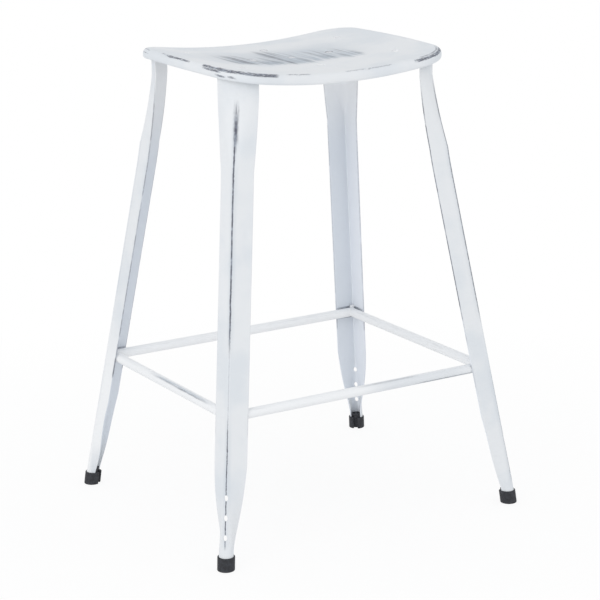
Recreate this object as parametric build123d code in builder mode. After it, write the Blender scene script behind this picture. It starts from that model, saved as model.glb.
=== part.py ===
"""Backless counter stool: a pressed saddle seat on four folded sheet legs with a footrest ring.

The floor is z = 0, the origin is under the middle of the seat, +X is the sitter's right
and -Y is the front. Sizes are in millimetres.
"""

import math
import os

from build123d import *

os.makedirs("parts", exist_ok=True)

# Stock and joints
sheet = 1.5
weld_gap = 0.2

# Seat pan
seat_height = 611.0
seat_length = 335.2
seat_depth = 275.6
side_bow = 7.6
front_bow = 3.9
seat_corner_radius = 50.0
saddle_dip = 16.0
rim_height = 13.3
rim_roll = 7.0
lip_roll = 3.5
lip_width = 6.0

# Drain holes in the seat
drain_diameter = 9.5
drain_column_pitch = 57.0
drain_row_pitch = 71.0

# Legs
leg_inset_side = 11.6
leg_inset_front = 18.7
leg_splay_side = 69.4
leg_splay_front = 76.5
leg_strip = 58.0
fold_radius = 3.0
fold_angle = 90.0
collar_height = 37.5
collar_flat = 3.0
collar_angle = 100.5
bend_length = 125.0
flare_length = 93.0
bend_steps = 10

# Narrow end of each leg
ankle_radius = 9.3
ankle_side = 2.8
ankle_angle = -36.0
taper_top = 125.0
taper_bulge = -0.22
taper_power = 2.6
taper_steps = 12
leg_hole_width = 5.0
leg_hole_height = 7.2
leg_hole_count = 3
leg_hole_pitch = 24.4
leg_hole_start = 42.4

# Footrest ring
footrest_height = 187.0
footrest_diameter = 12.7
footrest_wall = 1.2

# Cross brace under the seat
brace_thickness = 2.0
brace_depth = 16.0

# Rubber boots
boot_height = 17.3
boot_floor = 3.0
boot_wall = 1.8
boot_set_back = 1.0
boot_notch_width = 5.4
boot_notch_depth = 5.9
boot_lip = 1.6
boot_plug_rise = 4.7
boot_edge = 0.8
boot_clearance = 0.15

# Seat geometry
half_length = seat_length / 2
half_depth = seat_depth / 2
saddle_radius = (half_length**2 + saddle_dip**2) / (2 * saddle_dip)
saddle_low = seat_height - saddle_dip
saddle_axis_height = saddle_low + saddle_radius
underside_radius = saddle_radius + sheet + weld_gap
block_floor = saddle_low - 2 * rim_height
block_height = seat_height - block_floor + rim_height

# Leg geometry, for the leg at +X +Y
collar_x = half_length - leg_inset_side
collar_y = half_depth - leg_inset_front
collar_start = seat_height - collar_height
bend_start = collar_start - bend_length
knee_height = collar_start - bend_length / 2
flare_start = collar_start - flare_length
lean_x = leg_splay_side / knee_height
lean_y = leg_splay_front / knee_height
collar_radius = (leg_strip - 2 * collar_flat) / math.radians(180 - collar_angle)
ankle_strip = ankle_radius * math.radians(180 - ankle_angle) + 2 * ankle_side
ankle_top = boot_height + boot_wall
boot_radius = ankle_radius + boot_wall
lean_angle = math.degrees(math.atan2(leg_splay_front, leg_splay_side))

# Footrest ring geometry
footrest_radius = footrest_diameter / 2
ring_x = (
    collar_x + lean_x * (knee_height - footrest_height) - sheet - weld_gap
    - footrest_radius * math.hypot(1, lean_x)
)
ring_y = (
    collar_y + lean_y * (knee_height - footrest_height) - sheet - weld_gap
    - footrest_radius * math.hypot(1, lean_y)
)


def fold_corner(height):
    """Outer corner of a square fold along the leg, before it is rounded."""
    drop = max(knee_height - height, 0.0)
    if bend_start < height < collar_start:
        drop = (collar_start - height) ** 2 / (2 * bend_length)
    return collar_x + lean_x * drop, collar_y + lean_y * drop


def leg_flare(height):
    """How far the fold has opened to the collar's wide curve: 0 on the leg, 1 at the collar."""
    return min(max((height - flare_start) / flare_length, 0.0), 1.0)


def leg_taper(height):
    """How far up the taper a height lies: 0 in the boot, 1 from the top of the taper up."""
    return min(max((height - ankle_top) / (taper_top - ankle_top), 0.0), 1.0)


def fold_shape(height):
    """Outer face of the leg at one height: the fold's centre, the way that its nose points,
    its radius, half the angle between the flanges and the length of a flange past the fold.
    The nose stays on the leg's line while the flanges roll in towards the boot, where the angle
    between them is negative."""
    taper = leg_taper(height)
    spread = taper + taper_bulge * taper * (1 - taper)
    unrolled = 1 - (1 - taper) ** taper_power
    flare = leg_flare(height)
    rounding = fold_radius + (collar_radius - fold_radius) * flare
    radius = rounding + (ankle_radius - fold_radius) * (1 - spread)
    opening = fold_angle + (collar_angle - fold_angle) * flare
    half_angle = math.radians(ankle_angle + (opening - ankle_angle) * unrolled) / 2
    strip = ankle_strip + (leg_strip - ankle_strip) * spread
    length = strip / 2 - radius * (math.pi / 2 - half_angle)
    setback = Vector(1, 1) * (rounding * (1 - math.sqrt(0.5)))
    outward = Vector(1, 0).rotate(Axis.Z, 45 + (lean_angle - 45) * (1 - spread))
    centre = Vector(*fold_corner(height)) - setback - outward * radius
    return centre, outward, radius, half_angle, length


def draw_fold(centre, outward, radius, half_angle, length):
    """Draw a flange, the rounded nose and the other flange, and return the two free ends."""
    across = outward.rotate(Axis.Z, 90)
    bends = []
    ends = []
    for side in (-1, 1):
        facing = outward * math.sin(half_angle) + across * (side * math.cos(half_angle))
        along = across * (side * math.sin(half_angle)) - outward * math.cos(half_angle)
        bends.append(centre + facing * radius)
        ends.append(bends[-1] + along * length)
    Line(ends[0], bends[0])
    ThreePointArc(bends[0], centre + outward * radius, bends[1])
    Line(bends[1], ends[1])
    return ends


def leg_section(height, clearance=0.0):
    """Sketch the leg's folded strip at one height, with a clearance on every side."""
    centre, outward, radius, half_angle, length = fold_shape(height)
    reach = length + clearance
    with BuildSketch(Plane.XY.offset(height)) as section:
        with BuildLine():
            outer_ends = draw_fold(centre, outward, radius + clearance, half_angle, reach)
            inner_ends = draw_fold(centre, outward, radius - sheet - clearance, half_angle, reach)
            Line(outer_ends[0], inner_ends[0])
            Line(outer_ends[1], inner_ends[1])
        make_face()
    return section.sketch


def boot_section(height, set_back):
    """Sketch the boot's outside at one height: a round with a notch at the back of the leg."""
    centre, outward = fold_shape(height)[:2]
    middle = centre - outward * set_back
    heel = middle - outward * boot_radius
    with BuildSketch(Plane.XY.offset(height)) as section:
        with Locations((middle.X, middle.Y)):
            Circle(boot_radius)
        with Locations((heel.X, heel.Y)):
            Rectangle(
                2 * boot_notch_depth, boot_notch_width, rotation=lean_angle, mode=Mode.SUBTRACT
            )
        lips = section.vertices().sort_by(Axis((0, 0, 0), tuple(outward)))[:2]
        fillet(lips, boot_lip)
    return section.sketch


def plug_section(height):
    """Sketch the boot's plug at one height: it fills the leg's fold as far back as the notch."""
    centre, outward, radius, half_angle = fold_shape(height)[:4]
    plug_radius = radius - sheet - boot_clearance
    web = boot_radius - boot_notch_depth
    plug_length = (web + plug_radius * math.sin(half_angle)) / math.cos(half_angle)
    with BuildSketch(Plane.XY.offset(height)) as section:
        with BuildLine():
            ends = draw_fold(centre, outward, plug_radius, half_angle, plug_length)
            Line(*ends)
        make_face()
    return section.sketch


def saddle_block(inset, top_drop, bottom_drop):
    """Seat outline, drawn in by inset, between two levels below the saddle surface."""
    side_x = half_length - inset
    side_y = half_depth - inset
    corner_x = side_x - side_bow
    corner_y = side_y - front_bow
    with BuildPart() as block:
        with BuildSketch(Plane.XY.offset(block_floor)) as outline:
            with BuildLine():
                ThreePointArc((-corner_x, -corner_y), (0, -side_y), (corner_x, -corner_y))
                ThreePointArc((corner_x, -corner_y), (side_x, 0), (corner_x, corner_y))
                ThreePointArc((corner_x, corner_y), (0, side_y), (-corner_x, corner_y))
                ThreePointArc((-corner_x, corner_y), (-side_x, 0), (-corner_x, -corner_y))
            make_face()
            fillet(outline.vertices(), seat_corner_radius - inset)
        extrude(amount=block_height)
        with BuildSketch(Plane.XZ):
            with Locations((0, saddle_axis_height)):
                Circle(saddle_radius + bottom_drop)
                Circle(saddle_radius + top_drop, mode=Mode.SUBTRACT)
        extrude(amount=seat_depth, both=True, mode=Mode.INTERSECT)
    return block.part


def rolled_form(inset):
    """Seat block with its rolled top and bottom edges, drawn in by inset all round."""
    with BuildPart() as form:
        add(saddle_block(inset, inset, rim_height - inset))
        top_and_bottom = form.faces().sort_by(SortBy.AREA)[-2:].sort_by(Axis.Z)
        fillet(top_and_bottom[1].edges(), rim_roll - inset)
        top_and_bottom = form.faces().sort_by(SortBy.AREA)[-2:].sort_by(Axis.Z)
        fillet(top_and_bottom[0].edges(), lip_roll - inset)
    return form.part


def mirrored(source, planes):
    """Copy of a piece, mirrored about each of the planes in turn."""
    with BuildPart() as copy:
        add(source)
        for plane in planes:
            mirror(about=plane, mode=Mode.REPLACE)
    return copy.part


def save(piece, name):
    """Label a finished piece and write it."""
    piece.label = name
    export_step(piece, f"parts/{name}.step")


# Seat pan
outer_form = rolled_form(0.0)
inner_form = rolled_form(sheet)
lip_opening = saddle_block(lip_width, rim_height / 2, 1.5 * rim_height)
drain_points = [(0, 0, seat_height)]
for side in (-1, 1):
    drain_points.append((side * drain_column_pitch, 0, seat_height))
    drain_points.append((0, side * drain_row_pitch, seat_height))
    for row in (-1, 1):
        drain_points.append((2 * side * drain_column_pitch, row * drain_row_pitch, seat_height))

with BuildPart() as seat_pan:
    add(outer_form)
    add(inner_form, mode=Mode.SUBTRACT)
    add(lip_opening, mode=Mode.SUBTRACT)
    with Locations(*drain_points):
        Hole(drain_diameter / 2, depth=seat_height - block_floor)
save(seat_pan.part, "seat_pan")

# Legs: one is made at +X +Y and mirrored to the other corners
section_heights = {boot_floor, flare_start, seat_height}
for step in range(taper_steps + 1):
    section_heights.add(ankle_top + (taper_top - ankle_top) * step / taper_steps)
for step in range(bend_steps + 1):
    section_heights.add(bend_start + bend_length * step / bend_steps)

hole_planes = []
for index in range(leg_hole_count):
    hole_height = leg_hole_start + leg_hole_pitch * index
    hole_planes.append(
        Plane(origin=(*fold_corner(hole_height), hole_height), x_dir=(0, 0, 1), z_dir=(1, 1, 0))
    )

with BuildPart() as leg:
    loft([leg_section(height) for height in sorted(section_heights)], ruled=True)
    with BuildSketch(Plane.XZ):
        with Locations((0, saddle_axis_height)):
            Circle(underside_radius)
    extrude(amount=seat_depth, both=True, mode=Mode.SUBTRACT)
    with BuildSketch(*hole_planes):
        Ellipse(leg_hole_height / 2, leg_hole_width / 2)
    extrude(amount=2 * fold_radius, both=True, mode=Mode.SUBTRACT)

# Boots
with BuildPart() as boot:
    loft([boot_section(0.0, boot_set_back), boot_section(boot_height, 0.0)])
    fillet(boot.faces().sort_by(Axis.Z)[-1].edges(), boot_edge)
    fillet(boot.faces().sort_by(Axis.Z)[0].edges(), boot_edge)
    slot_floor = leg_section(boot_floor - boot_clearance, boot_clearance)
    slot_mouth = leg_section(ankle_top, boot_clearance)
    loft([slot_floor, slot_mouth], mode=Mode.SUBTRACT)
    plug_heights = (boot_height - boot_edge, ankle_top, boot_height + boot_plug_rise)
    loft([plug_section(height) for height in plug_heights], ruled=True)
    fillet(boot.faces().sort_by(Axis.Z)[-1].edges(), boot_edge)

corner_mirrors = {
    "back_right": (),
    "front_right": (Plane.XZ,),
    "back_left": (Plane.YZ,),
    "front_left": (Plane.XZ, Plane.YZ),
}
for corner, planes in corner_mirrors.items():
    save(mirrored(leg.part, planes), f"leg_{corner}")
    save(mirrored(boot.part, planes), f"boot_{corner}")

# Footrest ring: round tubes mitred at the corners, with each tip cut clear of the leg's fold
fold_x, fold_y = fold_corner(footrest_height)
fold_setback = sheet + weld_gap + (1 - math.sqrt(0.5)) * (fold_radius - sheet)
tip_x = fold_x - fold_setback
tip_y = fold_y - fold_setback


def footrest_tube(section_plane, centre, reach, corners):
    """One tube of the ring, cut at the two corners that it runs between."""
    with BuildPart() as tube:
        with BuildSketch(section_plane):
            with Locations(centre):
                Circle(footrest_radius)
                Circle(footrest_radius - footrest_wall, mode=Mode.SUBTRACT)
        extrude(amount=reach, both=True)
        for (side_x, side_y), mitre_normal in corners:
            mitre_point = (side_x * ring_x, side_y * ring_y, footrest_height)
            tip_point = (side_x * tip_x, side_y * tip_y, footrest_height)
            tip_normal = (side_x, side_y, lean_x + lean_y)
            split(bisect_by=Plane(mitre_point, z_dir=mitre_normal), keep=Keep.BOTTOM)
            split(bisect_by=Plane(tip_point, z_dir=tip_normal), keep=Keep.BOTTOM)
    return tube.part


back_tube = footrest_tube(
    Plane.YZ, (ring_y, footrest_height), ring_x + footrest_radius,
    [((1, 1), (1, -1, 0)), ((-1, 1), (-1, -1, 0))],
)
right_tube = footrest_tube(
    Plane.XZ, (ring_x, footrest_height), ring_y + footrest_radius,
    [((1, 1), (-1, 1, 0)), ((1, -1), (-1, -1, 0))],
)
save(back_tube, "footrest_back")
save(mirrored(back_tube, [Plane.XZ]), "footrest_front")
save(right_tube, "footrest_right")
save(mirrored(right_tube, [Plane.YZ]), "footrest_left")

# Cross brace: two strips on edge, half-lapped where they cross
inside_radius = collar_radius - sheet - weld_gap
inside_x = collar_x - sheet - weld_gap
inside_y = collar_y - sheet - weld_gap
brace_end_x = inside_x - (1 - math.sqrt(0.5)) * inside_radius
brace_end_y = inside_y - (1 - math.sqrt(0.5)) * inside_radius
brace_angle = math.degrees(math.atan2(brace_end_y, brace_end_x))
brace_length = 2 * math.hypot(half_length, half_depth)
brace_top = saddle_low - sheet - weld_gap
lap_height = brace_top - brace_depth / 2
lap_width = brace_thickness + 2 * weld_gap


def brace_strip(angle, lap_start, lap_end):
    """One strip from leg to leg under the saddle, notched for the other between two heights."""
    with BuildPart() as strip:
        with BuildSketch(Plane.XY.offset(collar_start)):
            Rectangle(brace_length, brace_thickness, rotation=angle)
        extrude(amount=collar_height)
        with BuildSketch(Plane.XY.offset(collar_start)):
            RectangleRounded(2 * inside_x, 2 * inside_y, inside_radius)
        extrude(amount=collar_height, mode=Mode.INTERSECT)
        with BuildSketch(Plane.XZ):
            with Locations((0, saddle_axis_height)):
                Circle(underside_radius + brace_depth)
                Circle(underside_radius, mode=Mode.SUBTRACT)
        extrude(amount=seat_depth, both=True, mode=Mode.INTERSECT)
        with BuildSketch(Plane.XY.offset(lap_start)):
            Rectangle(brace_length / 2, lap_width, rotation=-angle)
        extrude(amount=lap_end - lap_start, mode=Mode.SUBTRACT)
    return strip.part


save(brace_strip(brace_angle, lap_height, seat_height), "brace_lower")
save(brace_strip(-brace_angle, collar_start, lap_height + weld_gap), "brace_upper")
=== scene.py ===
"""Looks of the counter stool: rubbed white paint on steel, charcoal rubber boots, soft studio light.

Everything is in metres, in the frame of the solids: floor at z = 0, front towards -Y.
"""

import math
from collections import namedtuple

import bmesh
import bpy
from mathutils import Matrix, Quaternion, Vector


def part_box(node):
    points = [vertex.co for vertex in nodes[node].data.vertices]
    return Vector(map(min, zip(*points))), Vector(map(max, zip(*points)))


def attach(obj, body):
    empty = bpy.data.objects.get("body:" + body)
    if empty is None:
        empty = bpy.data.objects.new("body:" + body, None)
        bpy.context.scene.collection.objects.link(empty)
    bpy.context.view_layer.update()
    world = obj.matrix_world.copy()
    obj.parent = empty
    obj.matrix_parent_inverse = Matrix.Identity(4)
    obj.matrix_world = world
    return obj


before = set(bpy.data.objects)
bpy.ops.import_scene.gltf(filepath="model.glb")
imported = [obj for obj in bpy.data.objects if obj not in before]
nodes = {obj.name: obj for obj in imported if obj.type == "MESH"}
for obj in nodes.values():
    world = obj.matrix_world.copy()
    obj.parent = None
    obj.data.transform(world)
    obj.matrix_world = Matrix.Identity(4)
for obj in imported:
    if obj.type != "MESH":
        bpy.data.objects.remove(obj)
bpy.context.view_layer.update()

# View of the photograph, in degrees and metres, with the lens and its sensor in millimetres
VIEW_AZIMUTH = -31.29
VIEW_ELEVATION = 15.42
VIEW_ROLL = 0.71
VIEW_DISTANCE = 2.877
VIEW_LENS = 129.96
SENSOR_WIDTH = 36.0
AIM_HEIGHT = 0.2706
AIM_SIDE = 0.007

# Floor, world and lamps
FLOOR_RADIUS = 6.0
FLOOR_SIDES = 64
FLOOR_DROP = 0.0003
FLOOR_WHITE = (0.9, 0.9, 0.9, 1.0)
PURE_WHITE = (1.0, 1.0, 1.0, 1.0)
GLOW_NEAR = 0.85
GLOW_FADE = 0.9
WORLD_COLOUR = (0.97, 0.985, 1.005, 1.0)
WORLD_LIGHT = 0.86
LAMP_AIM = (0.0, 0.0, 0.45)
LAMP_SIZE = 1.8
KEY_PLACE = (-2.4, -1.3, 1.5)
KEY_POWER = 15.5
FILL_PLACE = (1.2, -2.4, 1.2)
FILL_POWER = 5.0

# Seat sizes that place its wear
SEAT_HEIGHT = 0.611
SADDLE_DIP = 0.016
DRAIN_RADIUS = 0.00475
DRAIN_COLUMN = 0.057
DRAIN_ROW = 0.071

# Leg sizes that place its wear
COLLAR_X = 0.1560
COLLAR_Y = 0.1191
COLLAR_START = 0.5735
BEND_LENGTH = 0.125
FLARE_LENGTH = 0.093
LEAN_X = 0.1358
LEAN_Y = 0.1497
HALF_STRIP = 0.029
FOLD_RADIUS = 0.003
COLLAR_RADIUS = 0.0375

# Corners of the stool, and the axis along each footrest tube
CORNERS = {
    "front_left": (-1, -1),
    "front_right": (1, -1),
    "back_left": (-1, 1),
    "back_right": (1, 1),
}
X_AXIS = 0
Y_AXIS = 1
TUBE_AXES = {"front": X_AXIS, "back": X_AXIS, "left": Y_AXIS, "right": Y_AXIS}

# Lumps of weld in the corners of the footrest: place, half sizes, ripples, and how they slump inward
NUB_REACH_X = 0.1948
NUB_REACH_Y = 0.1623
NUB_SINK = 0.0018
NUB_WIDTH = 0.0038
NUB_HEIGHT = 0.0054
NUB_RIPPLE = 0.10
NUB_WAVES = 5.0
NUB_SLUMP = 0.35
NUB_SUBDIVISIONS = 4

# Paint and rubber colours, linear
PAINT_WARM = (0.80, 0.815, 0.83, 1.0)
PAINT_COOL = (0.735, 0.765, 0.795, 1.0)
# Bright white paint; also the painted light on the drain walls and high on the legs' inner faces
BRIGHT_PAINT_AND_PAINTED_LIGHT = (0.90, 0.905, 0.91, 1.0)
# Bluish painted shade on the legs' inner faces
PAINTED_SHADE_BLUE = (0.84, 0.87, 0.92, 1.0)
# Rubbed-through steel; also the painted shade where the footrest meets the legs
BARE_AND_PAINTED_SHADE_DARK = (0.115, 0.12, 0.15, 1.0)
BARE_AND_PAINTED_SHADE_LIGHT = (0.36, 0.40, 0.46, 1.0)
# Grey of thin paint; also the painted shade on the legs' inner faces that face along Y
WASH_AND_PAINTED_SHADE_COLOUR = (0.44, 0.50, 0.565, 1.0)
RUBBER_DARK = (0.022, 0.023, 0.027, 1.0)
RUBBER_LIGHT = (0.042, 0.045, 0.053, 1.0)

# Wear is drawn by masks from 0 to 1, and the end of a value's name says what it holds:
# FADE where a mask starts and where it is full, SPAN a window's start, end and soft margin,
# NOISE a scale, a detail and at times a roughness, BRUSH two scales, a seed and a detail,
# RAGGED and WAVY a scale and how far an edge moves, RANGE what 0 and 1 become, BUMP strength and depth

# Paint all over
CLOUD_NOISE = (14.0, 3.0)
CLOUD_FADE = (0.42, 0.66)
MOTTLE_NOISE = (160.0, 4.0, 0.6)
BARE_FADE = (0.4, 0.75)
PAINT_ROUGHNESS_RANGE = (0.42, 0.64)
PAINT_SPECULAR = 0.25
GRAIN_NOISE = (900.0, 3.0)
GRAIN_BUMP = (0.06, 0.0004)
CHIP_BUMP = (0.25, 0.0003)

# Soft edge of a rubbed line, as shares of its half width
LINE_OUTER = 1.5
LINE_INNER = 0.6

# Fine brush marks on the legs and the footrest
METAL_BRUSH = (700.0, 30.0, 0.0, 2.0)

# Rubbed stripes on the seat's rolled rim: bearing where each starts and ends, in degrees from +X,
# how far it lies below the saddle surface, its half width and its strength
RIM_STRIPES = (
    (198.5, 217.0, 0.0019, 0.0011, 1.0),
    (208.0, 234.0, 0.0019, 0.0016, 1.0),
    (199.5, 212.5, 0.0046, 0.0012, 0.95),
    (208.5, 215.0, 0.0094, 0.0013, 0.9),
    (214.5, 219.0, 0.0088, 0.0013, 0.9),
    (162.0, 169.5, 0.0013, 0.0005, 0.6),
    (167.0, 190.0, 0.0019, 0.0010, 0.95),
    (236.0, 249.0, 0.0003, 0.0004, 0.6),
    (268.0, 283.0, 0.0001, 0.0004, 0.55),
    (281.5, 298.0, 0.0005, 0.0004, 0.45),
    (306.0, 327.0, 0.0027, 0.0015, 1.0),
    (309.0, 328.0, 0.0002, 0.0004, 0.6),
    (140.0, 153.0, 0.0014, 0.0004, 0.7),
    (147.0, 154.0, 0.0058, 0.0005, 0.7),
    (36.0, 53.0, 0.0020, 0.0011, 0.9),
    (78.0, 97.0, 0.0006, 0.0004, 0.6),
    (108.0, 118.0, 0.0010, 0.0004, 0.5),
)
RIM_WAVY = (90.0, 0.0022)
RIM_RAGGED = (500.0, 0.0008)
STRIPE_END_RAGGED = (240.0, 3.0)
STRIPE_END_SOFT = 2.5
HALF_TURN = 180.0
ROLL_FADE = (0.9995, 0.988)
TOPSIDE_FADE = (-0.6, -0.3)
OUTER_SKIN_FADE = (-0.08, -0.04)
RIM_BRUSH = (0.45, 1300.0, 0.0, 2.0)
RIM_BRUSH_FADE = (0.30, 0.50)

# Brushed patches on the seat, with strokes from back to front: the first and last stroke's place,
# where they end towards the front and the back, and how dark the strokes and the wash are
STREAK_PATCHES = (
    (-0.104, -0.056, -0.040, 0.046, 1.0, 0.85),
    (-0.068, -0.024, -0.046, 0.018, 0.9, 0.95),
    (-0.034, 0.014, -0.050, 0.066, 1.0, 0.85),
    (0.006, 0.030, -0.046, 0.034, 0.5, 0.95),
    (0.022, 0.056, -0.042, 0.030, 1.0, 0.90),
    (0.046, 0.086, -0.050, 0.016, 0.8, 0.70),
)
FLAT_TOP_FADE = (0.0012, 0.0004)
CLOSE_BRUSH = (260.0, 9.0, 0.0, 3.0)
CLOSE_FADE = (0.42, 0.62)
CLOSE_LEFT_RANGE = (1.0, 0.6)
BOLD_BRUSH = (120.0, 6.0, 0.2, 2.0)
BOLD_FADE = (0.47, 0.59)
BOLD_STRENGTH = 1.25
BOLD_SIDE_FADE = (0.020, -0.010)
FINE_BRUSH = (800.0, 14.0, 0.5, 2.0)
FINE_RANGE = (0.5, 1.25)
STROKE_END_BRUSH = (300.0, 0.0, 0.0, 2.0)
STROKE_END_RANGE = (-0.018, 0.018)
PATCH_RAGGED = (40.0, 0.010)
PATCH_SOFT = 0.012
FRONT_CUT_FADE = (-0.010, 0.014)
WASH_FULL = 0.010
STROKE_TIP_FADE = (0.012, -0.030)
STREAK_WEAR = 0.65
THIN_LENGTH_SPAN = (-0.150, 0.125, 0.080)
THIN_DEPTH_SPAN = (-0.066, 0.085, 0.060)
THIN_WASH = 0.40

# Drain holes: columns and rows from the middle of the seat, and how dark each edge is rubbed
DRAIN_HOLES = (
    (0, 0, 0.4),
    (-1, 0, 0.4),
    (1, 0, 1.0),
    (0, -1, 0.1),
    (0, 1, 0.6),
    (-2, -1, 0.1),
    (-2, 1, 0.1),
    (2, -1, 0.1),
    (2, 1, 0.1),
)
DRAIN_RAGGED = (300.0, 0.0014)
DRAIN_RING_FADE = (0.0013, 0.0)
DRAIN_WALL_FADE = (0.0014, 0.0008)
STEEP_FADE = (0.8, 0.4)
LOW_WALL_FADE = (0.0002, 0.0007)

# How each leg is rubbed and shaded: strength, half width and lowest height on the fold, strength and
# lowest height on the free edges, strength of the painted shade on the edges under the footrest, and how
# much lighter the outside is painted low down
LegWearAndShade = namedtuple("LegWearAndShade", "fold fold_half fold_low edge edge_low joint fresh")
LEG_WEAR_AND_SHADE = {
    "leg_front_left": LegWearAndShade(1.0, 0.0014, 0.255, 0.12, 0.15, 0.2, 0.0),
    "leg_front_right": LegWearAndShade(0.9, 0.0026, 0.240, 0.85, 0.21, 0.2, 0.0),
    "leg_back_left": LegWearAndShade(0.3, 0.0014, 0.255, 0.55, 0.15, 0.8, 0.9),
    "leg_back_right": LegWearAndShade(0.6, 0.0014, 0.255, 0.30, 0.15, 0.4, 0.0),
}
OUTSIDE_FADE = (0.3, 0.8)
INSIDE_FADE = (-0.3, -0.8)

# Rubbed line down a leg's fold, strong above, thin at the ankle and faint between
FOLD_WAVY = (45.0, 0.0012)
FOLD_RAGGED = (420.0, 0.0016)
FOLD_TOP = 0.572
FOLD_SOFT = 0.040
ANKLE_FOOT_FADE = (0.025, 0.037)
ANKLE_TOP_FADE = (0.215, 0.150)
ANKLE_LINE_FADE = (0.0014, 0.0005)
FAINT_SPAN = (0.160, 0.290, 0.012)
FAINT_STRENGTH = 0.25
FOLD_WASH_FADE = (0.009, 0.001)
FOLD_WASH = 0.25

# Flame of brush marks at the top of the fold: a solid core, beside the fold, and a fringe
FLAME_SIDE = 0.0012
FLAME_RAGGED = (200.0, 0.003)
CORE_FADE = (0.0034, 0.0012)
CORE_SPAN = (0.500, 0.564, 0.026)
FRINGE_FADE = (0.0066, 0.0014)
FRINGE_SPAN = (0.508, 0.574, 0.022)
FRINGE_MARK_FADE = (0.36, 0.58)

# Free edges of a leg, with painted shade along them just under the footrest
EDGE_TOP = 0.575
EDGE_SOFT = 0.05
EDGE_PATCH_SCALE = 30.0
EDGE_PATCH_FADE = (0.30, 0.46)
EDGE_LINE_FADE = (0.0009, 0.0003)
JOINT_LINE_FADE = (0.0018, 0.0006)
JOINT_SPAN = (0.158, 0.193, 0.008)

# Painted shade above and below the footrest, inside a leg: dark lines where the tubes meet the leg
CONTACT_RAGGED = (150.0, 0.0010)
CONTACT_CORNER = 0.004
OVER_SPAN = (-0.006, 0.0021, 0.0014)
OVER_RANGE = (0.3, 0.85)
UNDER_SPAN = (-0.006, 0.0046, 0.0016)
UNDER_RANGE = (0.15, 1.0)

# Painted shade and painted light on the legs: grey painted shade low on the inner faces that face along
# Y, painted light high on the inner faces, lighter paint low on the outside, and bluish painted shade on
# all inner faces
PAINTED_SHADE_FACING_FADE = (-0.5, -0.9)
PAINTED_SHADE_HEIGHT_FADE = (0.57, 0.43)
PAINTED_SHADE_STRENGTH = 0.30
INSIDE_PAINTED_LIGHT_FADE = (0.42, 0.56)
INSIDE_PAINTED_LIGHT = 0.9
FOOT_LIGHTER_FADE = (0.28, 0.14)
INSIDE_PAINTED_SHADE = 0.9

# Footrest tubes: painted shade at each end, where a tube meets a leg, lines near the top and low on the
# side, and faint patches
TUBE_GLEAM = 0.85
TUBE_END_RAGGED = (200.0, 0.0008)
TUBE_END_FADE = (-0.0016, -0.0002)
TUBE_END_PAINTED_SHADE = 0.7
TOP_LINE_RISE = 0.0047
TOP_LINE_WAVY = (70.0, 0.0012)
TOP_LINE_RAGGED = (400.0, 0.0006)
TOP_LINE_FADE = (0.0011, 0.0003)
LOW_LINE_SINK = 0.0040
LOW_LINE_RAGGED = (300.0, 0.0010)
LOW_LINE_FADE = (0.0014, 0.0004)
SCUFF_PATCH_SCALE = 18.0
SCUFF_PATCH_FADE = (0.58, 0.68)
SCUFF_PATCH_WEAR = 0.08

# Long scuff on the outer half of the left tube
LEFT_SIDE_FADE = (0.0005, -0.0025)
LEFT_RAGGED = (40.0, 0.03)
LEFT_SPAN = (-0.130, 0.052, 0.06)
LEFT_WEAR_RANGE = (0.0, 0.85)
LEFT_RUB_FADE = (-0.0003, 0.0004)
LEFT_WASH_RANGE = (0.0, 1.1)

# Rubs on the front tube
FRONT_FADE = (-0.158, -0.164)
FRONT_RAGGED = (40.0, 0.02)
FRONT_LOW_SPAN = (0.070, 0.190, 0.04)
FRONT_LOW_WEAR = 0.6
CROWN_FADE = (0.0048, 0.0060)
CROWN_SPAN = (-0.010, 0.095, 0.03)
CROWN_WEAR = 0.5
FRONT_WASH_SPAN = (-0.010, 0.195, 0.06)
FRONT_WASH = 0.28

# Paint on the brace and the weld
RUB_NOISE = (120.0, 4.0)
RUB_FADE = (0.70, 0.78)
RUB_WEAR = 0.6
RUB_WASH = 0.3
PLAIN_GLEAM = 0.5

# Rubber
RUBBER_NOISE = (220.0, 4.0, 0.6)
RUBBER_FADE = (0.35, 0.7)
RUBBER_ROUGHNESS_RANGE = (0.55, 0.8)
RUBBER_SPECULAR = 0.35
RUBBER_GRAIN_NOISE = (1800.0, 3.0)
RUBBER_GRAIN_BUMP = (0.12, 0.0003)


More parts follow.
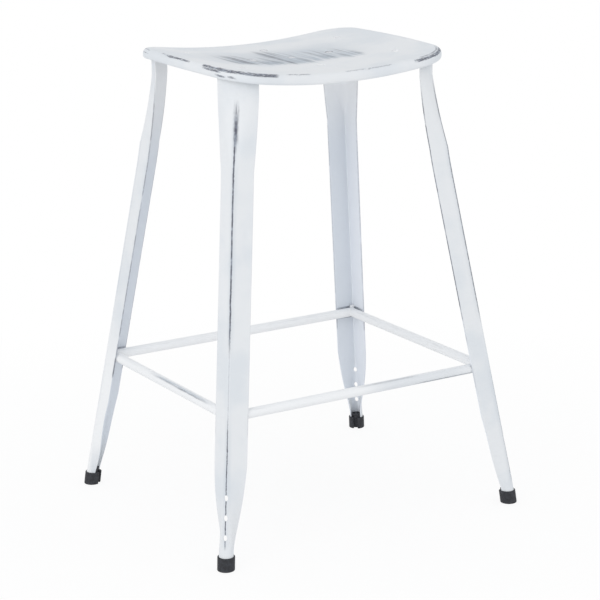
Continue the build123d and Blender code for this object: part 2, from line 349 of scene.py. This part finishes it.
class Paintwork:
    """One material, with short calls that add shader nodes and join them up."""

    def __init__(self, name):
        self.material = bpy.data.materials.new(name)
        self.material.use_nodes = True
        self.tree = self.material.node_tree
        self.shader = self.tree.nodes["Principled BSDF"]
        self.place = self.add("ShaderNodeTexCoord").outputs["Object"]
        self.axes = self.split(self.place)

    def add(self, kind):
        return self.tree.nodes.new(kind)

    def feed(self, socket, value):
        """Join a node's output to a socket, or set a plain number or colour on it."""
        if isinstance(value, bpy.types.NodeSocket):
            self.tree.links.new(value, socket)
        else:
            socket.default_value = value

    def split(self, vector):
        node = self.add("ShaderNodeSeparateXYZ")
        self.feed(node.inputs[0], vector)
        return node.outputs[0], node.outputs[1], node.outputs[2]

    def join(self, x, y, z):
        node = self.add("ShaderNodeCombineXYZ")
        self.feed(node.inputs[0], x)
        self.feed(node.inputs[1], y)
        self.feed(node.inputs[2], z)
        return node.outputs[0]

    def face_direction(self):
        """The surface's normal, split into X, Y and Z."""
        return self.split(self.add("ShaderNodeNewGeometry").outputs["Normal"])

    def calculate(self, operation, *values):
        """One Math node."""
        node = self.add("ShaderNodeMath")
        node.operation = operation
        for socket, value in zip(node.inputs, values):
            self.feed(socket, value)
        return node.outputs[0]

    def plus(self, first, second):
        return self.calculate("ADD", first, second)

    def minus(self, first, second):
        return self.calculate("SUBTRACT", first, second)

    def times_plus(self, first, second, third):
        return self.calculate("MULTIPLY_ADD", first, second, third)

    def least(self, first, second):
        return self.calculate("MINIMUM", first, second)

    def most(self, first, second):
        return self.calculate("MAXIMUM", first, second)

    def between(self, value, low, high):
        """A value kept from going below low or above high."""
        return self.least(self.most(value, low), high)

    def size_of(self, value):
        return self.calculate("ABSOLUTE", value)

    def times(self, *values):
        result = values[0]
        for value in values[1:]:
            result = self.calculate("MULTIPLY", result, value)
        return result

    def strongest(self, masks):
        result = masks[0]
        for mask in masks[1:]:
            result = self.most(result, mask)
        return result

    def rest_of(self, mask):
        return self.minus(1.0, mask)

    def range_of(self, mask, at_zero, at_one):
        """A mask spread between two numbers, which its 0 and its 1 become."""
        return self.times_plus(mask, at_one - at_zero, at_zero)

    def fade(self, value, start, end):
        """Smooth step that is 0 at start and 1 at end, whichever is larger."""
        node = self.add("ShaderNodeMapRange")
        node.interpolation_type = "SMOOTHSTEP"
        rising = start < end
        self.feed(node.inputs["Value"], value)
        node.inputs["From Min"].default_value = min(start, end)
        node.inputs["From Max"].default_value = max(start, end)
        node.inputs["To Min"].default_value = 0.0 if rising else 1.0
        node.inputs["To Max"].default_value = 1.0 if rising else 0.0
        return node.outputs["Result"]

    def window(self, value, start, end, soft):
        """1 between start and end, fading out over a soft margin at both."""
        return self.times(self.fade(value, start, start + soft), self.fade(value, end, end - soft))

    def line(self, away, half_width):
        """1 along a rubbed line, fading out by how far a point is away from its middle."""
        return self.fade(away, LINE_OUTER * half_width, LINE_INNER * half_width)

    def noise(self, place, scale, detail=2.0, roughness=0.5):
        node = self.add("ShaderNodeTexNoise")
        self.feed(node.inputs["Vector"], place)
        node.inputs["Scale"].default_value = scale
        node.inputs["Detail"].default_value = detail
        node.inputs["Roughness"].default_value = roughness
        return node.outputs["Fac"]

    def brush_marks(self, first, second, first_scale, second_scale, seed, detail):
        """Noise over two measures of the surface, each at its own scale, so that it is drawn out."""
        place = self.join(self.times(first, first_scale), self.times(second, second_scale), seed)
        return self.noise(place, 1.0, detail)

    def wobble(self, value, scale, reach):
        """A value moved up or down by up to half of reach, by a noise of that scale."""
        shift = self.times_plus(self.noise(self.place, scale), reach, -reach / 2)
        return self.plus(value, shift)

    def blend(self, share, first, second):
        """Colour between two, by a share from 0 to 1."""
        node = self.add("ShaderNodeMix")
        node.data_type = "RGBA"
        self.feed(node.inputs["Factor"], share)
        self.feed(node.inputs["A"], first)
        self.feed(node.inputs["B"], second)
        return node.outputs["Result"]

    def bump(self, height, strength, distance, normal=None):
        node = self.add("ShaderNodeBump")
        node.inputs["Strength"].default_value = strength
        node.inputs["Distance"].default_value = distance
        self.feed(node.inputs["Height"], height)
        if normal:
            self.feed(node.inputs["Normal"], normal)
        return node.outputs["Normal"]


def finish_paint(paint, darkening, wash, bright_paint_and_painted_light=0.0, shade=0.0):
    """Cloudy off-white paint, greyed where the wash mask is high and rubbed through to steel where
    darkening is high.

    Darkening holds rubbed paint, and also the painted shade where the footrest meets the legs; the wash
    mask holds thin paint, and also painted shade on the legs' inner faces.
    Bright_paint_and_painted_light, from 0 to 1, is how bright and new the paint looks: bright paint on
    the tubes, brace and weld, lighter paint low outside the back left leg, and painted light on the drain
    walls and high on the legs' inner faces. Shade, from 0 to 1, is how much bluish painted shade is mixed
    in."""
    clouds = paint.fade(paint.noise(paint.place, *CLOUD_NOISE), *CLOUD_FADE)
    mottle = paint.noise(paint.place, *MOTTLE_NOISE)
    cloudy_and_painted_shade = paint.blend(shade, paint.blend(clouds, PAINT_WARM, PAINT_COOL), PAINTED_SHADE_BLUE)
    fresh = paint.blend(bright_paint_and_painted_light, cloudy_and_painted_shade, BRIGHT_PAINT_AND_PAINTED_LIGHT)
    greyed = paint.blend(wash, fresh, WASH_AND_PAINTED_SHADE_COLOUR)
    bare_and_painted_shade = paint.blend(paint.fade(mottle, *BARE_FADE), BARE_AND_PAINTED_SHADE_DARK, BARE_AND_PAINTED_SHADE_LIGHT)
    paint.feed(paint.shader.inputs["Base Color"], paint.blend(darkening, greyed, bare_and_painted_shade))
    paint.feed(paint.shader.inputs["Roughness"], paint.range_of(mottle, *PAINT_ROUGHNESS_RANGE))
    paint.shader.inputs["Specular IOR Level"].default_value = PAINT_SPECULAR
    grain = paint.bump(paint.noise(paint.place, *GRAIN_NOISE), *GRAIN_BUMP)
    chip = paint.bump(paint.rest_of(darkening), *CHIP_BUMP, grain)
    paint.feed(paint.shader.inputs["Normal"], chip)
    return paint.material


def saddle_measures(paint, normal):
    """How far a point lies below the saddle's top surface, and how squarely its face looks out of it."""
    x, _, z = paint.axes
    half_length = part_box("seat_pan")[1].x
    saddle_radius = (half_length**2 + SADDLE_DIP**2) / (2 * SADDLE_DIP)
    saddle_axis = SEAT_HEIGHT - SADDLE_DIP + saddle_radius
    below_axis = paint.calculate("SQRT", paint.times_plus(x, paint.times(x, -1.0), saddle_radius**2))
    drop = paint.minus(paint.minus(saddle_axis, below_axis), z)
    upright = paint.calculate("DIVIDE", below_axis, saddle_radius)
    slope = paint.times(x, normal[0], -1.0 / saddle_radius)
    return drop, paint.times_plus(upright, normal[2], slope)


def rim_wear(paint, normal, drop, facing):
    """Rubbed stripes on the outer skin of the rolled rim."""
    x, y, _ = paint.axes
    ragged_drop = paint.wobble(paint.wobble(drop, *RIM_WAVY), *RIM_RAGGED)
    turn = paint.calculate("ARCTAN2", paint.times(y, -1.0), paint.times(x, -1.0))
    bearing = paint.times_plus(turn, math.degrees(1), HALF_TURN)
    ragged_bearing = paint.wobble(bearing, *STRIPE_END_RAGGED)
    stripes = []
    for start, end, level, half_width, strength in RIM_STRIPES:
        along = paint.window(ragged_bearing, start, end, STRIPE_END_SOFT)
        across = paint.line(paint.size_of(paint.minus(ragged_drop, level)), half_width)
        stripes.append(paint.times(along, across, strength))
    outward = paint.times_plus(x, normal[0], paint.times(y, normal[1]))
    rolled = paint.times(
        paint.fade(facing, *ROLL_FADE),
        paint.fade(facing, *TOPSIDE_FADE),
        paint.fade(outward, *OUTER_SKIN_FADE),
    )
    marks = paint.fade(paint.brush_marks(bearing, drop, *RIM_BRUSH), *RIM_BRUSH_FADE)
    return paint.times(paint.strongest(stripes), rolled, marks)


def brushed_middle(paint, drop):
    """Dark strokes across the middle of the seat, and the grey wash around them."""
    x, y, _ = paint.axes
    flat_top = paint.fade(drop, *FLAT_TOP_FADE)
    on_left = paint.fade(x, *BOLD_SIDE_FADE)
    bold = paint.fade(paint.brush_marks(x, y, *BOLD_BRUSH), *BOLD_FADE)
    close = paint.fade(paint.brush_marks(x, y, *CLOSE_BRUSH), *CLOSE_FADE)
    fine = paint.range_of(paint.brush_marks(x, y, *FINE_BRUSH), *FINE_RANGE)
    bold_strokes = paint.times(bold, on_left, BOLD_STRENGTH)
    close_strokes = paint.times(close, paint.range_of(on_left, *CLOSE_LEFT_RANGE))
    strokes = paint.times(paint.strongest([bold_strokes, close_strokes]), fine, flat_top)

    end_shift = paint.range_of(paint.brush_marks(x, y, *STROKE_END_BRUSH), *STROKE_END_RANGE)
    ragged_y = paint.plus(y, end_shift)
    streaks = []
    washes = []
    for first, last, front, back, stroke_strength, wash_strength in STREAK_PATCHES:
        sideways = paint.window(paint.wobble(x, *PATCH_RAGGED), first, last, PATCH_SOFT)
        cut = paint.fade(paint.minus(ragged_y, front), *FRONT_CUT_FADE)
        trail = paint.fade(ragged_y, back, front + WASH_FULL)
        tips = paint.fade(paint.minus(ragged_y, back), *STROKE_TIP_FADE)
        streaks.append(paint.times(sideways, cut, tips, strokes, stroke_strength))
        washes.append(paint.times(sideways, cut, trail, flat_top, wash_strength))
    thin_x = paint.window(x, *THIN_LENGTH_SPAN)
    thin_y = paint.window(y, *THIN_DEPTH_SPAN)
    washes.append(paint.times(thin_x, thin_y, THIN_WASH))
    return paint.strongest(streaks), paint.strongest(washes)


def drain_masks(paint, normal):
    """Rubbed edges of the drain holes, and the walls inside them."""
    x, y, _ = paint.axes
    rings = []
    walls = []
    for columns, rows, strength in DRAIN_HOLES:
        off_x = paint.minus(x, columns * DRAIN_COLUMN)
        off_y = paint.minus(y, rows * DRAIN_ROW)
        far = paint.calculate("SQRT", paint.times_plus(off_x, off_x, paint.times(off_y, off_y)))
        past_edge = paint.minus(far, DRAIN_RADIUS)
        ring = paint.fade(paint.wobble(past_edge, *DRAIN_RAGGED), *DRAIN_RING_FADE)
        rings.append(paint.times(ring, strength))
        walls.append(paint.fade(past_edge, *DRAIN_WALL_FADE))
    wall = paint.times(paint.strongest(walls), paint.fade(normal[2], *STEEP_FADE))
    return paint.strongest(rings), wall


def seat_material():
    """Seat paint: brushed streaks across the middle, rubbed stripes on the rim, dark drain edges, and
    painted light on the drain holes' walls.
    """
    paint = Paintwork("worn_white_seat")
    normal = paint.face_direction()
    drop, facing = saddle_measures(paint, normal)
    streaks, wash = brushed_middle(paint, drop)
    rings, wall = drain_masks(paint, normal)
    off_wall = paint.rest_of(wall)
    low_wall = paint.times(wall, paint.fade(drop, *LOW_WALL_FADE))
    drain_wear = paint.times(rings, paint.rest_of(low_wall))
    top_wear = paint.strongest([rim_wear(paint, normal, drop, facing), paint.times(streaks, STREAK_WEAR)])
    darkening = paint.strongest([paint.times(top_wear, off_wall), drain_wear])
    # The drain holes' walls are painted light: lifted towards the bright white, and kept clear of the
    # wash and the rubbing
    return finish_paint(paint, darkening, paint.times(wash, off_wall), wall)


def leg_measures(paint):
    """How far a point lies in from the leg's fold, along X and along Y, and how far below the collar."""
    x, y, z = paint.axes
    below_collar = paint.minus(COLLAR_START, z)
    in_bend = paint.between(below_collar, 0.0, BEND_LENGTH)
    below_bend = paint.most(paint.minus(below_collar, BEND_LENGTH), 0.0)
    leaning = paint.plus(paint.times(in_bend, in_bend, 0.5 / BEND_LENGTH), below_bend)
    inward_x = paint.minus(paint.times_plus(leaning, LEAN_X, COLLAR_X), paint.size_of(x))
    inward_y = paint.minus(paint.times_plus(leaning, LEAN_Y, COLLAR_Y), paint.size_of(y))
    return inward_x, inward_y, below_collar


def flame_wear(paint, sideways):
    """Brush marks that spread from the top of the fold."""
    z = paint.axes[2]
    beside = paint.minus(sideways, FLAME_SIDE)
    away = paint.size_of(paint.wobble(beside, *FLAME_RAGGED))
    core = paint.times(paint.fade(away, *CORE_FADE), paint.window(z, *CORE_SPAN))
    fringe = paint.times(paint.fade(away, *FRINGE_FADE), paint.window(z, *FRINGE_SPAN))
    marks = paint.fade(paint.brush_marks(sideways, z, *METAL_BRUSH), *FRINGE_MARK_FADE)
    return paint.strongest([core, paint.times(fringe, marks)])


def edge_wear_and_shade(paint, deepest, below_collar, rubbed):
    """Thin rubbed lines along a leg's free edges, and painted shade along them just under the footrest,
    where the tubes meet the flange.
    """
    z = paint.axes[2]
    up_flare = paint.calculate("DIVIDE", paint.minus(FLARE_LENGTH, below_collar), FLARE_LENGTH)
    rounding = paint.range_of(paint.between(up_flare, 0.0, 1.0), FOLD_RADIUS, COLLAR_RADIUS)
    flange = paint.times_plus(rounding, 1 - math.pi / 4, HALF_STRIP)
    to_edge = paint.minus(flange, deepest)
    span = paint.window(z, rubbed.edge_low, EDGE_TOP, EDGE_SOFT)
    patches = paint.fade(paint.noise(paint.place, EDGE_PATCH_SCALE), *EDGE_PATCH_FADE)
    edge_line = paint.times(paint.fade(to_edge, *EDGE_LINE_FADE), span, patches, rubbed.edge)
    joint_painted_shade = paint.times(
        paint.fade(to_edge, *JOINT_LINE_FADE), paint.window(z, *JOINT_SPAN), rubbed.joint,
    )
    return paint.strongest([edge_line, joint_painted_shade])


def painted_contact_shade(paint, deepest):
    """Painted shade in dark lines where the footrest meets the leg, darkest in the corner of the fold."""
    z = paint.axes[2]
    tube_low, tube_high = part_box("footrest_left")
    over_tube = paint.wobble(paint.minus(z, tube_high.z), *CONTACT_RAGGED)
    under_tube = paint.wobble(paint.minus(tube_low.z, z), *CONTACT_RAGGED)
    corner = paint.fade(deepest, HALF_STRIP, CONTACT_CORNER)
    over_line = paint.times(paint.window(over_tube, *OVER_SPAN), paint.range_of(corner, *OVER_RANGE))
    under_line = paint.times(paint.window(under_tube, *UNDER_SPAN), paint.range_of(corner, *UNDER_RANGE))
    return paint.strongest([over_line, under_line])


def leg_material(name, rubbed):
    """Leg paint: a rubbed line down the fold, thin lines along the free edges, painted shade at the
    footrest and on the inner faces, and painted light high on the inner faces.
    """
    paint = Paintwork(f"worn_white_{name}")
    x, y, z = paint.axes
    inward_x, inward_y, below_collar = leg_measures(paint)
    deepest = paint.most(inward_x, inward_y)
    normal = paint.face_direction()
    facing_x = paint.times(normal[0], paint.calculate("SIGN", x))
    facing_y = paint.times(normal[1], paint.calculate("SIGN", y))
    facing = paint.plus(facing_x, facing_y)
    outside = paint.fade(facing, *OUTSIDE_FADE)
    inside = paint.fade(facing, *INSIDE_FADE)

    sideways = paint.wobble(paint.minus(inward_x, inward_y), *FOLD_WAVY)
    away = paint.wobble(paint.size_of(sideways), *FOLD_RAGGED)
    upper = paint.window(z, rubbed.fold_low, FOLD_TOP, FOLD_SOFT)
    ankle = paint.times(paint.fade(z, *ANKLE_FOOT_FADE), paint.fade(z, *ANKLE_TOP_FADE))
    faint = paint.times(paint.window(z, *FAINT_SPAN), FAINT_STRENGTH)
    upper_line = paint.times(paint.line(away, rubbed.fold_half), upper)
    lower_line = paint.times(paint.fade(away, *ANKLE_LINE_FADE), paint.strongest([ankle, faint]))
    fold_marks = paint.strongest([upper_line, lower_line, flame_wear(paint, sideways)])
    fold_wear = paint.times(fold_marks, outside, rubbed.fold)

    edges = edge_wear_and_shade(paint, deepest, below_collar, rubbed)
    contact_shade = paint.times(painted_contact_shade(paint, deepest), inside)
    # Rubbing, with the painted shade at the footrest mixed in
    darkening = paint.strongest([fold_wear, edges, contact_shade])

    along_fold = paint.strongest([upper, ankle])
    fold_wash = paint.times(paint.fade(away, *FOLD_WASH_FADE), outside, along_fold, FOLD_WASH)
    # Painted shade: grey on the inner faces that face along Y, fading out towards the top; the wash mask
    # below holds it with the grey along the fold
    inward_painted_shade = paint.times(
        paint.fade(facing_y, *PAINTED_SHADE_FACING_FADE), paint.fade(z, *PAINTED_SHADE_HEIGHT_FADE), PAINTED_SHADE_STRENGTH,
    )
    wash = paint.strongest([fold_wash, inward_painted_shade])
    # Painted light high on the inner faces, under the seat, and lighter paint low on the outside by each
    # leg's share
    bright_paint_and_painted_light = paint.strongest([
        paint.times(inside, paint.fade(z, *INSIDE_PAINTED_LIGHT_FADE), INSIDE_PAINTED_LIGHT),
        paint.times(outside, paint.fade(z, *FOOT_LIGHTER_FADE), rubbed.fresh),
    ])
    # Bluish painted shade on all inner faces
    return finish_paint(paint, darkening, wash, bright_paint_and_painted_light, paint.times(inside, INSIDE_PAINTED_SHADE))


def tube_material(name, along):
    """Footrest paint: painted shade at each end, where it meets a leg, and rubbed where shoes scuff it;
    along is the tube's axis.
    """
    paint = Paintwork(f"worn_white_{name}")
    x, y, z = paint.axes
    tube_low, tube_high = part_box(name)
    level = paint.minus(z, (tube_low.z + tube_high.z) / 2)
    reach = paint.wobble(paint.size_of(paint.axes[along]), *TUBE_END_RAGGED)
    end_painted_shade = paint.fade(paint.minus(reach, tube_high[along]), *TUBE_END_FADE)
    top_level = paint.wobble(paint.minus(level, TOP_LINE_RISE), *TOP_LINE_WAVY)
    top_line = paint.fade(paint.size_of(paint.wobble(top_level, *TOP_LINE_RAGGED)), *TOP_LINE_FADE)
    low_level = paint.wobble(paint.plus(level, LOW_LINE_SINK), *LOW_LINE_RAGGED)
    low_line = paint.fade(paint.size_of(low_level), *LOW_LINE_FADE)
    patches = paint.fade(paint.noise(paint.place, SCUFF_PATCH_SCALE), *SCUFF_PATCH_FADE)
    marks = paint.brush_marks(x, y, *METAL_BRUSH)

    left_low, left_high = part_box("footrest_left")
    left_side = paint.fade(paint.minus(x, (left_low.x + left_high.x) / 2), *LEFT_SIDE_FADE)
    left_span = paint.window(paint.wobble(y, *LEFT_RAGGED), *LEFT_SPAN)
    on_left = paint.times(left_side, left_span)
    left_scuff = paint.times(top_line, on_left, paint.range_of(marks, *LEFT_WEAR_RANGE))
    left_rub = paint.fade(top_level, *LEFT_RUB_FADE)
    left_wash = paint.times(left_rub, on_left, paint.range_of(marks, *LEFT_WASH_RANGE))

    on_front = paint.fade(y, *FRONT_FADE)
    ragged_x = paint.wobble(x, *FRONT_RAGGED)
    front_scuff = paint.times(low_line, on_front, paint.window(ragged_x, *FRONT_LOW_SPAN), FRONT_LOW_WEAR)
    crown = paint.fade(level, *CROWN_FADE)
    crown_scuff = paint.times(crown, on_front, paint.window(ragged_x, *CROWN_SPAN), CROWN_WEAR)
    front_wash = paint.times(on_front, paint.window(x, *FRONT_WASH_SPAN), FRONT_WASH)

    darkening = paint.strongest([
        paint.times(end_painted_shade, TUBE_END_PAINTED_SHADE),
        paint.times(top_line, patches, SCUFF_PATCH_WEAR),
        left_scuff,
        front_scuff,
        crown_scuff,
    ])
    return finish_paint(paint, darkening, paint.strongest([left_wash, front_wash]), TUBE_GLEAM)


def plain_material():
    """Paint on the hidden brace and the lumps of weld: clouds and a few small rubs."""
    paint = Paintwork("worn_white_plain")
    rubs = paint.fade(paint.noise(paint.place, *RUB_NOISE), *RUB_FADE)
    return finish_paint(paint, paint.times(rubs, RUB_WEAR), paint.times(rubs, RUB_WASH), PLAIN_GLEAM)


def rubber_material():
    """Matt moulded rubber, a little paler and rougher in patches."""
    rubber = Paintwork("black_rubber")
    mottle = rubber.noise(rubber.place, *RUBBER_NOISE)
    colour = rubber.blend(rubber.fade(mottle, *RUBBER_FADE), RUBBER_DARK, RUBBER_LIGHT)
    rubber.feed(rubber.shader.inputs["Base Color"], colour)
    rubber.feed(rubber.shader.inputs["Roughness"], rubber.range_of(mottle, *RUBBER_ROUGHNESS_RANGE))
    rubber.shader.inputs["Specular IOR Level"].default_value = RUBBER_SPECULAR
    grain = rubber.bump(rubber.noise(rubber.place, *RUBBER_GRAIN_NOISE), *RUBBER_GRAIN_BUMP)
    rubber.feed(rubber.shader.inputs["Normal"], grain)
    return rubber.material


def weld_nub(name, corner, material):
    """A lump of weld where two footrest tubes meet in a leg's fold, painted over."""
    mesh = bpy.data.meshes.new(name)
    lump = bmesh.new()
    bmesh.ops.create_icosphere(lump, subdivisions=NUB_SUBDIVISIONS, radius=1.0)
    side_x = math.copysign(1.0, corner.x)
    side_y = math.copysign(1.0, corner.y)
    for vertex in lump.verts:
        place = vertex.co.copy()
        waves = math.sin(NUB_WAVES * place.z + side_x) * math.cos(NUB_WAVES * place.x * side_y)
        ripple = 1.0 + NUB_RIPPLE * waves
        outward = place.x * side_x + place.y * side_y
        slump = 1.0 - NUB_SLUMP * max(-outward, 0.0)
        vertex.co = corner + Vector((
            place.x * NUB_WIDTH * ripple,
            place.y * NUB_WIDTH * ripple,
            place.z * NUB_HEIGHT * ripple * slump,
        ))
    for face in lump.faces:
        face.smooth = True
    lump.to_mesh(mesh)
    lump.free()
    mesh.materials.append(material)
    nub = bpy.data.objects.new(name, mesh)
    bpy.context.scene.collection.objects.link(nub)
    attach(nub, "root")


def dress(node, material):
    """Give a solid one material."""
    mesh = nodes[node].data
    mesh.materials.clear()
    mesh.materials.append(material)


def camera_rays(tree):
    """1 for what the camera sees straight, in a mirror or through glass."""
    path = tree.nodes.new("ShaderNodeLightPath")
    first = tree.nodes.new("ShaderNodeMath")
    first.operation = "MAXIMUM"
    tree.links.new(path.outputs["Is Camera Ray"], first.inputs[0])
    tree.links.new(path.outputs["Is Glossy Ray"], first.inputs[1])
    second = tree.nodes.new("ShaderNodeMath")
    second.operation = "MAXIMUM"
    tree.links.new(first.outputs[0], second.inputs[0])
    tree.links.new(path.outputs["Is Transmission Ray"], second.inputs[1])
    return second.outputs[0]


def floor_material():
    """Matt white that the camera sees glow, to pure white further out."""
    material = bpy.data.materials.new("floor_white")
    material.use_nodes = True
    tree = material.node_tree
    tree.nodes.clear()
    place = tree.nodes.new("ShaderNodeTexCoord")
    length = tree.nodes.new("ShaderNodeVectorMath")
    length.operation = "LENGTH"
    tree.links.new(place.outputs["Object"], length.inputs[0])
    fade = tree.nodes.new("ShaderNodeMapRange")
    fade.inputs["From Min"].default_value = 0.0
    fade.inputs["From Max"].default_value = GLOW_FADE
    fade.inputs["To Min"].default_value = GLOW_NEAR
    fade.inputs["To Max"].default_value = 1.0
    tree.links.new(length.outputs["Value"], fade.inputs["Value"])
    share = tree.nodes.new("ShaderNodeMath")
    share.operation = "MULTIPLY"
    tree.links.new(fade.outputs["Result"], share.inputs[0])
    tree.links.new(camera_rays(tree), share.inputs[1])
    matt = tree.nodes.new("ShaderNodeBsdfDiffuse")
    matt.inputs["Color"].default_value = FLOOR_WHITE
    glow = tree.nodes.new("ShaderNodeEmission")
    glow.inputs["Color"].default_value = PURE_WHITE
    mix = tree.nodes.new("ShaderNodeMixShader")
    tree.links.new(share.outputs[0], mix.inputs[0])
    tree.links.new(matt.outputs[0], mix.inputs[1])
    tree.links.new(glow.outputs[0], mix.inputs[2])
    output = tree.nodes.new("ShaderNodeOutputMaterial")
    tree.links.new(mix.outputs[0], output.inputs["Surface"])
    return material


def make_floor():
    """White floor, just under the boots, that keeps a faint shadow near them."""
    mesh = bpy.data.meshes.new("floor")
    disc = bmesh.new()
    bmesh.ops.create_circle(disc, cap_ends=True, segments=FLOOR_SIDES, radius=FLOOR_RADIUS)
    disc.to_mesh(mesh)
    disc.free()
    mesh.materials.append(floor_material())
    floor = bpy.data.objects.new("floor", mesh)
    floor.location.z = -FLOOR_DROP
    bpy.context.scene.collection.objects.link(floor)


def make_world():
    """Even white studio light, with a pure white background for the camera."""
    world = bpy.data.worlds.new("studio")
    bpy.context.scene.world = world
    world.use_nodes = True
    tree = world.node_tree
    tree.nodes.clear()
    light = tree.nodes.new("ShaderNodeBackground")
    light.inputs["Color"].default_value = WORLD_COLOUR
    light.inputs["Strength"].default_value = WORLD_LIGHT
    seen = tree.nodes.new("ShaderNodeBackground")
    seen.inputs["Color"].default_value = PURE_WHITE
    mix = tree.nodes.new("ShaderNodeMixShader")
    tree.links.new(camera_rays(tree), mix.inputs[0])
    tree.links.new(light.outputs[0], mix.inputs[1])
    tree.links.new(seen.outputs[0], mix.inputs[2])
    output = tree.nodes.new("ShaderNodeOutputWorld")
    tree.links.new(mix.outputs[0], output.inputs["Surface"])


def make_lamp(name, place, power):
    """A square soft box that points at the stool."""
    lamp = bpy.data.lights.new(name, "AREA")
    lamp.size = LAMP_SIZE
    lamp.energy = power
    lamp_object = bpy.data.objects.new(name, lamp)
    lamp_object.location = place
    lamp_object.rotation_mode = "QUATERNION"
    lamp_object.rotation_quaternion = (Vector(LAMP_AIM) - Vector(place)).to_track_quat("-Z", "Y")
    bpy.context.scene.collection.objects.link(lamp_object)


def make_camera():
    """Camera at the photograph's viewing angle."""
    azimuth = math.radians(VIEW_AZIMUTH)
    elevation = math.radians(VIEW_ELEVATION)
    sideways = Vector((math.cos(azimuth), math.sin(azimuth), 0.0))
    back = Vector((
        math.sin(azimuth) * math.cos(elevation),
        -math.cos(azimuth) * math.cos(elevation),
        math.sin(elevation),
    ))
    target = Vector((0.0, 0.0, AIM_HEIGHT)) + sideways * AIM_SIDE
    camera = bpy.data.cameras.new("camera")
    camera.lens = VIEW_LENS
    camera.sensor_width = SENSOR_WIDTH
    camera_object = bpy.data.objects.new("camera", camera)
    camera_object.location = target + back * VIEW_DISTANCE
    camera_object.rotation_mode = "QUATERNION"
    roll = Quaternion((0.0, 0.0, 1.0), math.radians(-VIEW_ROLL))
    camera_object.rotation_quaternion = (-back).to_track_quat("-Z", "Y") @ roll
    bpy.context.scene.collection.objects.link(camera_object)
    bpy.context.scene.camera = camera_object


# Materials on the solids
dress("seat_pan", seat_material())
for leg, leg_wear_and_shade in LEG_WEAR_AND_SHADE.items():
    dress(leg, leg_material(leg, leg_wear_and_shade))
for side, tube_axis in TUBE_AXES.items():
    tube = f"footrest_{side}"
    dress(tube, tube_material(tube, tube_axis))
plain_paint = plain_material()
for brace in ("brace_lower", "brace_upper"):
    dress(brace, plain_paint)

# Boots, and the weld above them
rubber_finish = rubber_material()
nub_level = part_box("footrest_front")[1].z - NUB_SINK
for corner_name, (sign_x, sign_y) in CORNERS.items():
    dress(f"boot_{corner_name}", rubber_finish)
    nub_place = Vector((sign_x * NUB_REACH_X, sign_y * NUB_REACH_Y, nub_level))
    weld_nub(f"weld_{corner_name}", nub_place, plain_paint)

# Floor, light and camera
make_floor()
make_world()
make_lamp("key_light", KEY_PLACE, KEY_POWER)
make_lamp("fill_light", FILL_PLACE, FILL_POWER)
make_camera()
bpy.context.scene.view_settings.view_transform = "Standard"
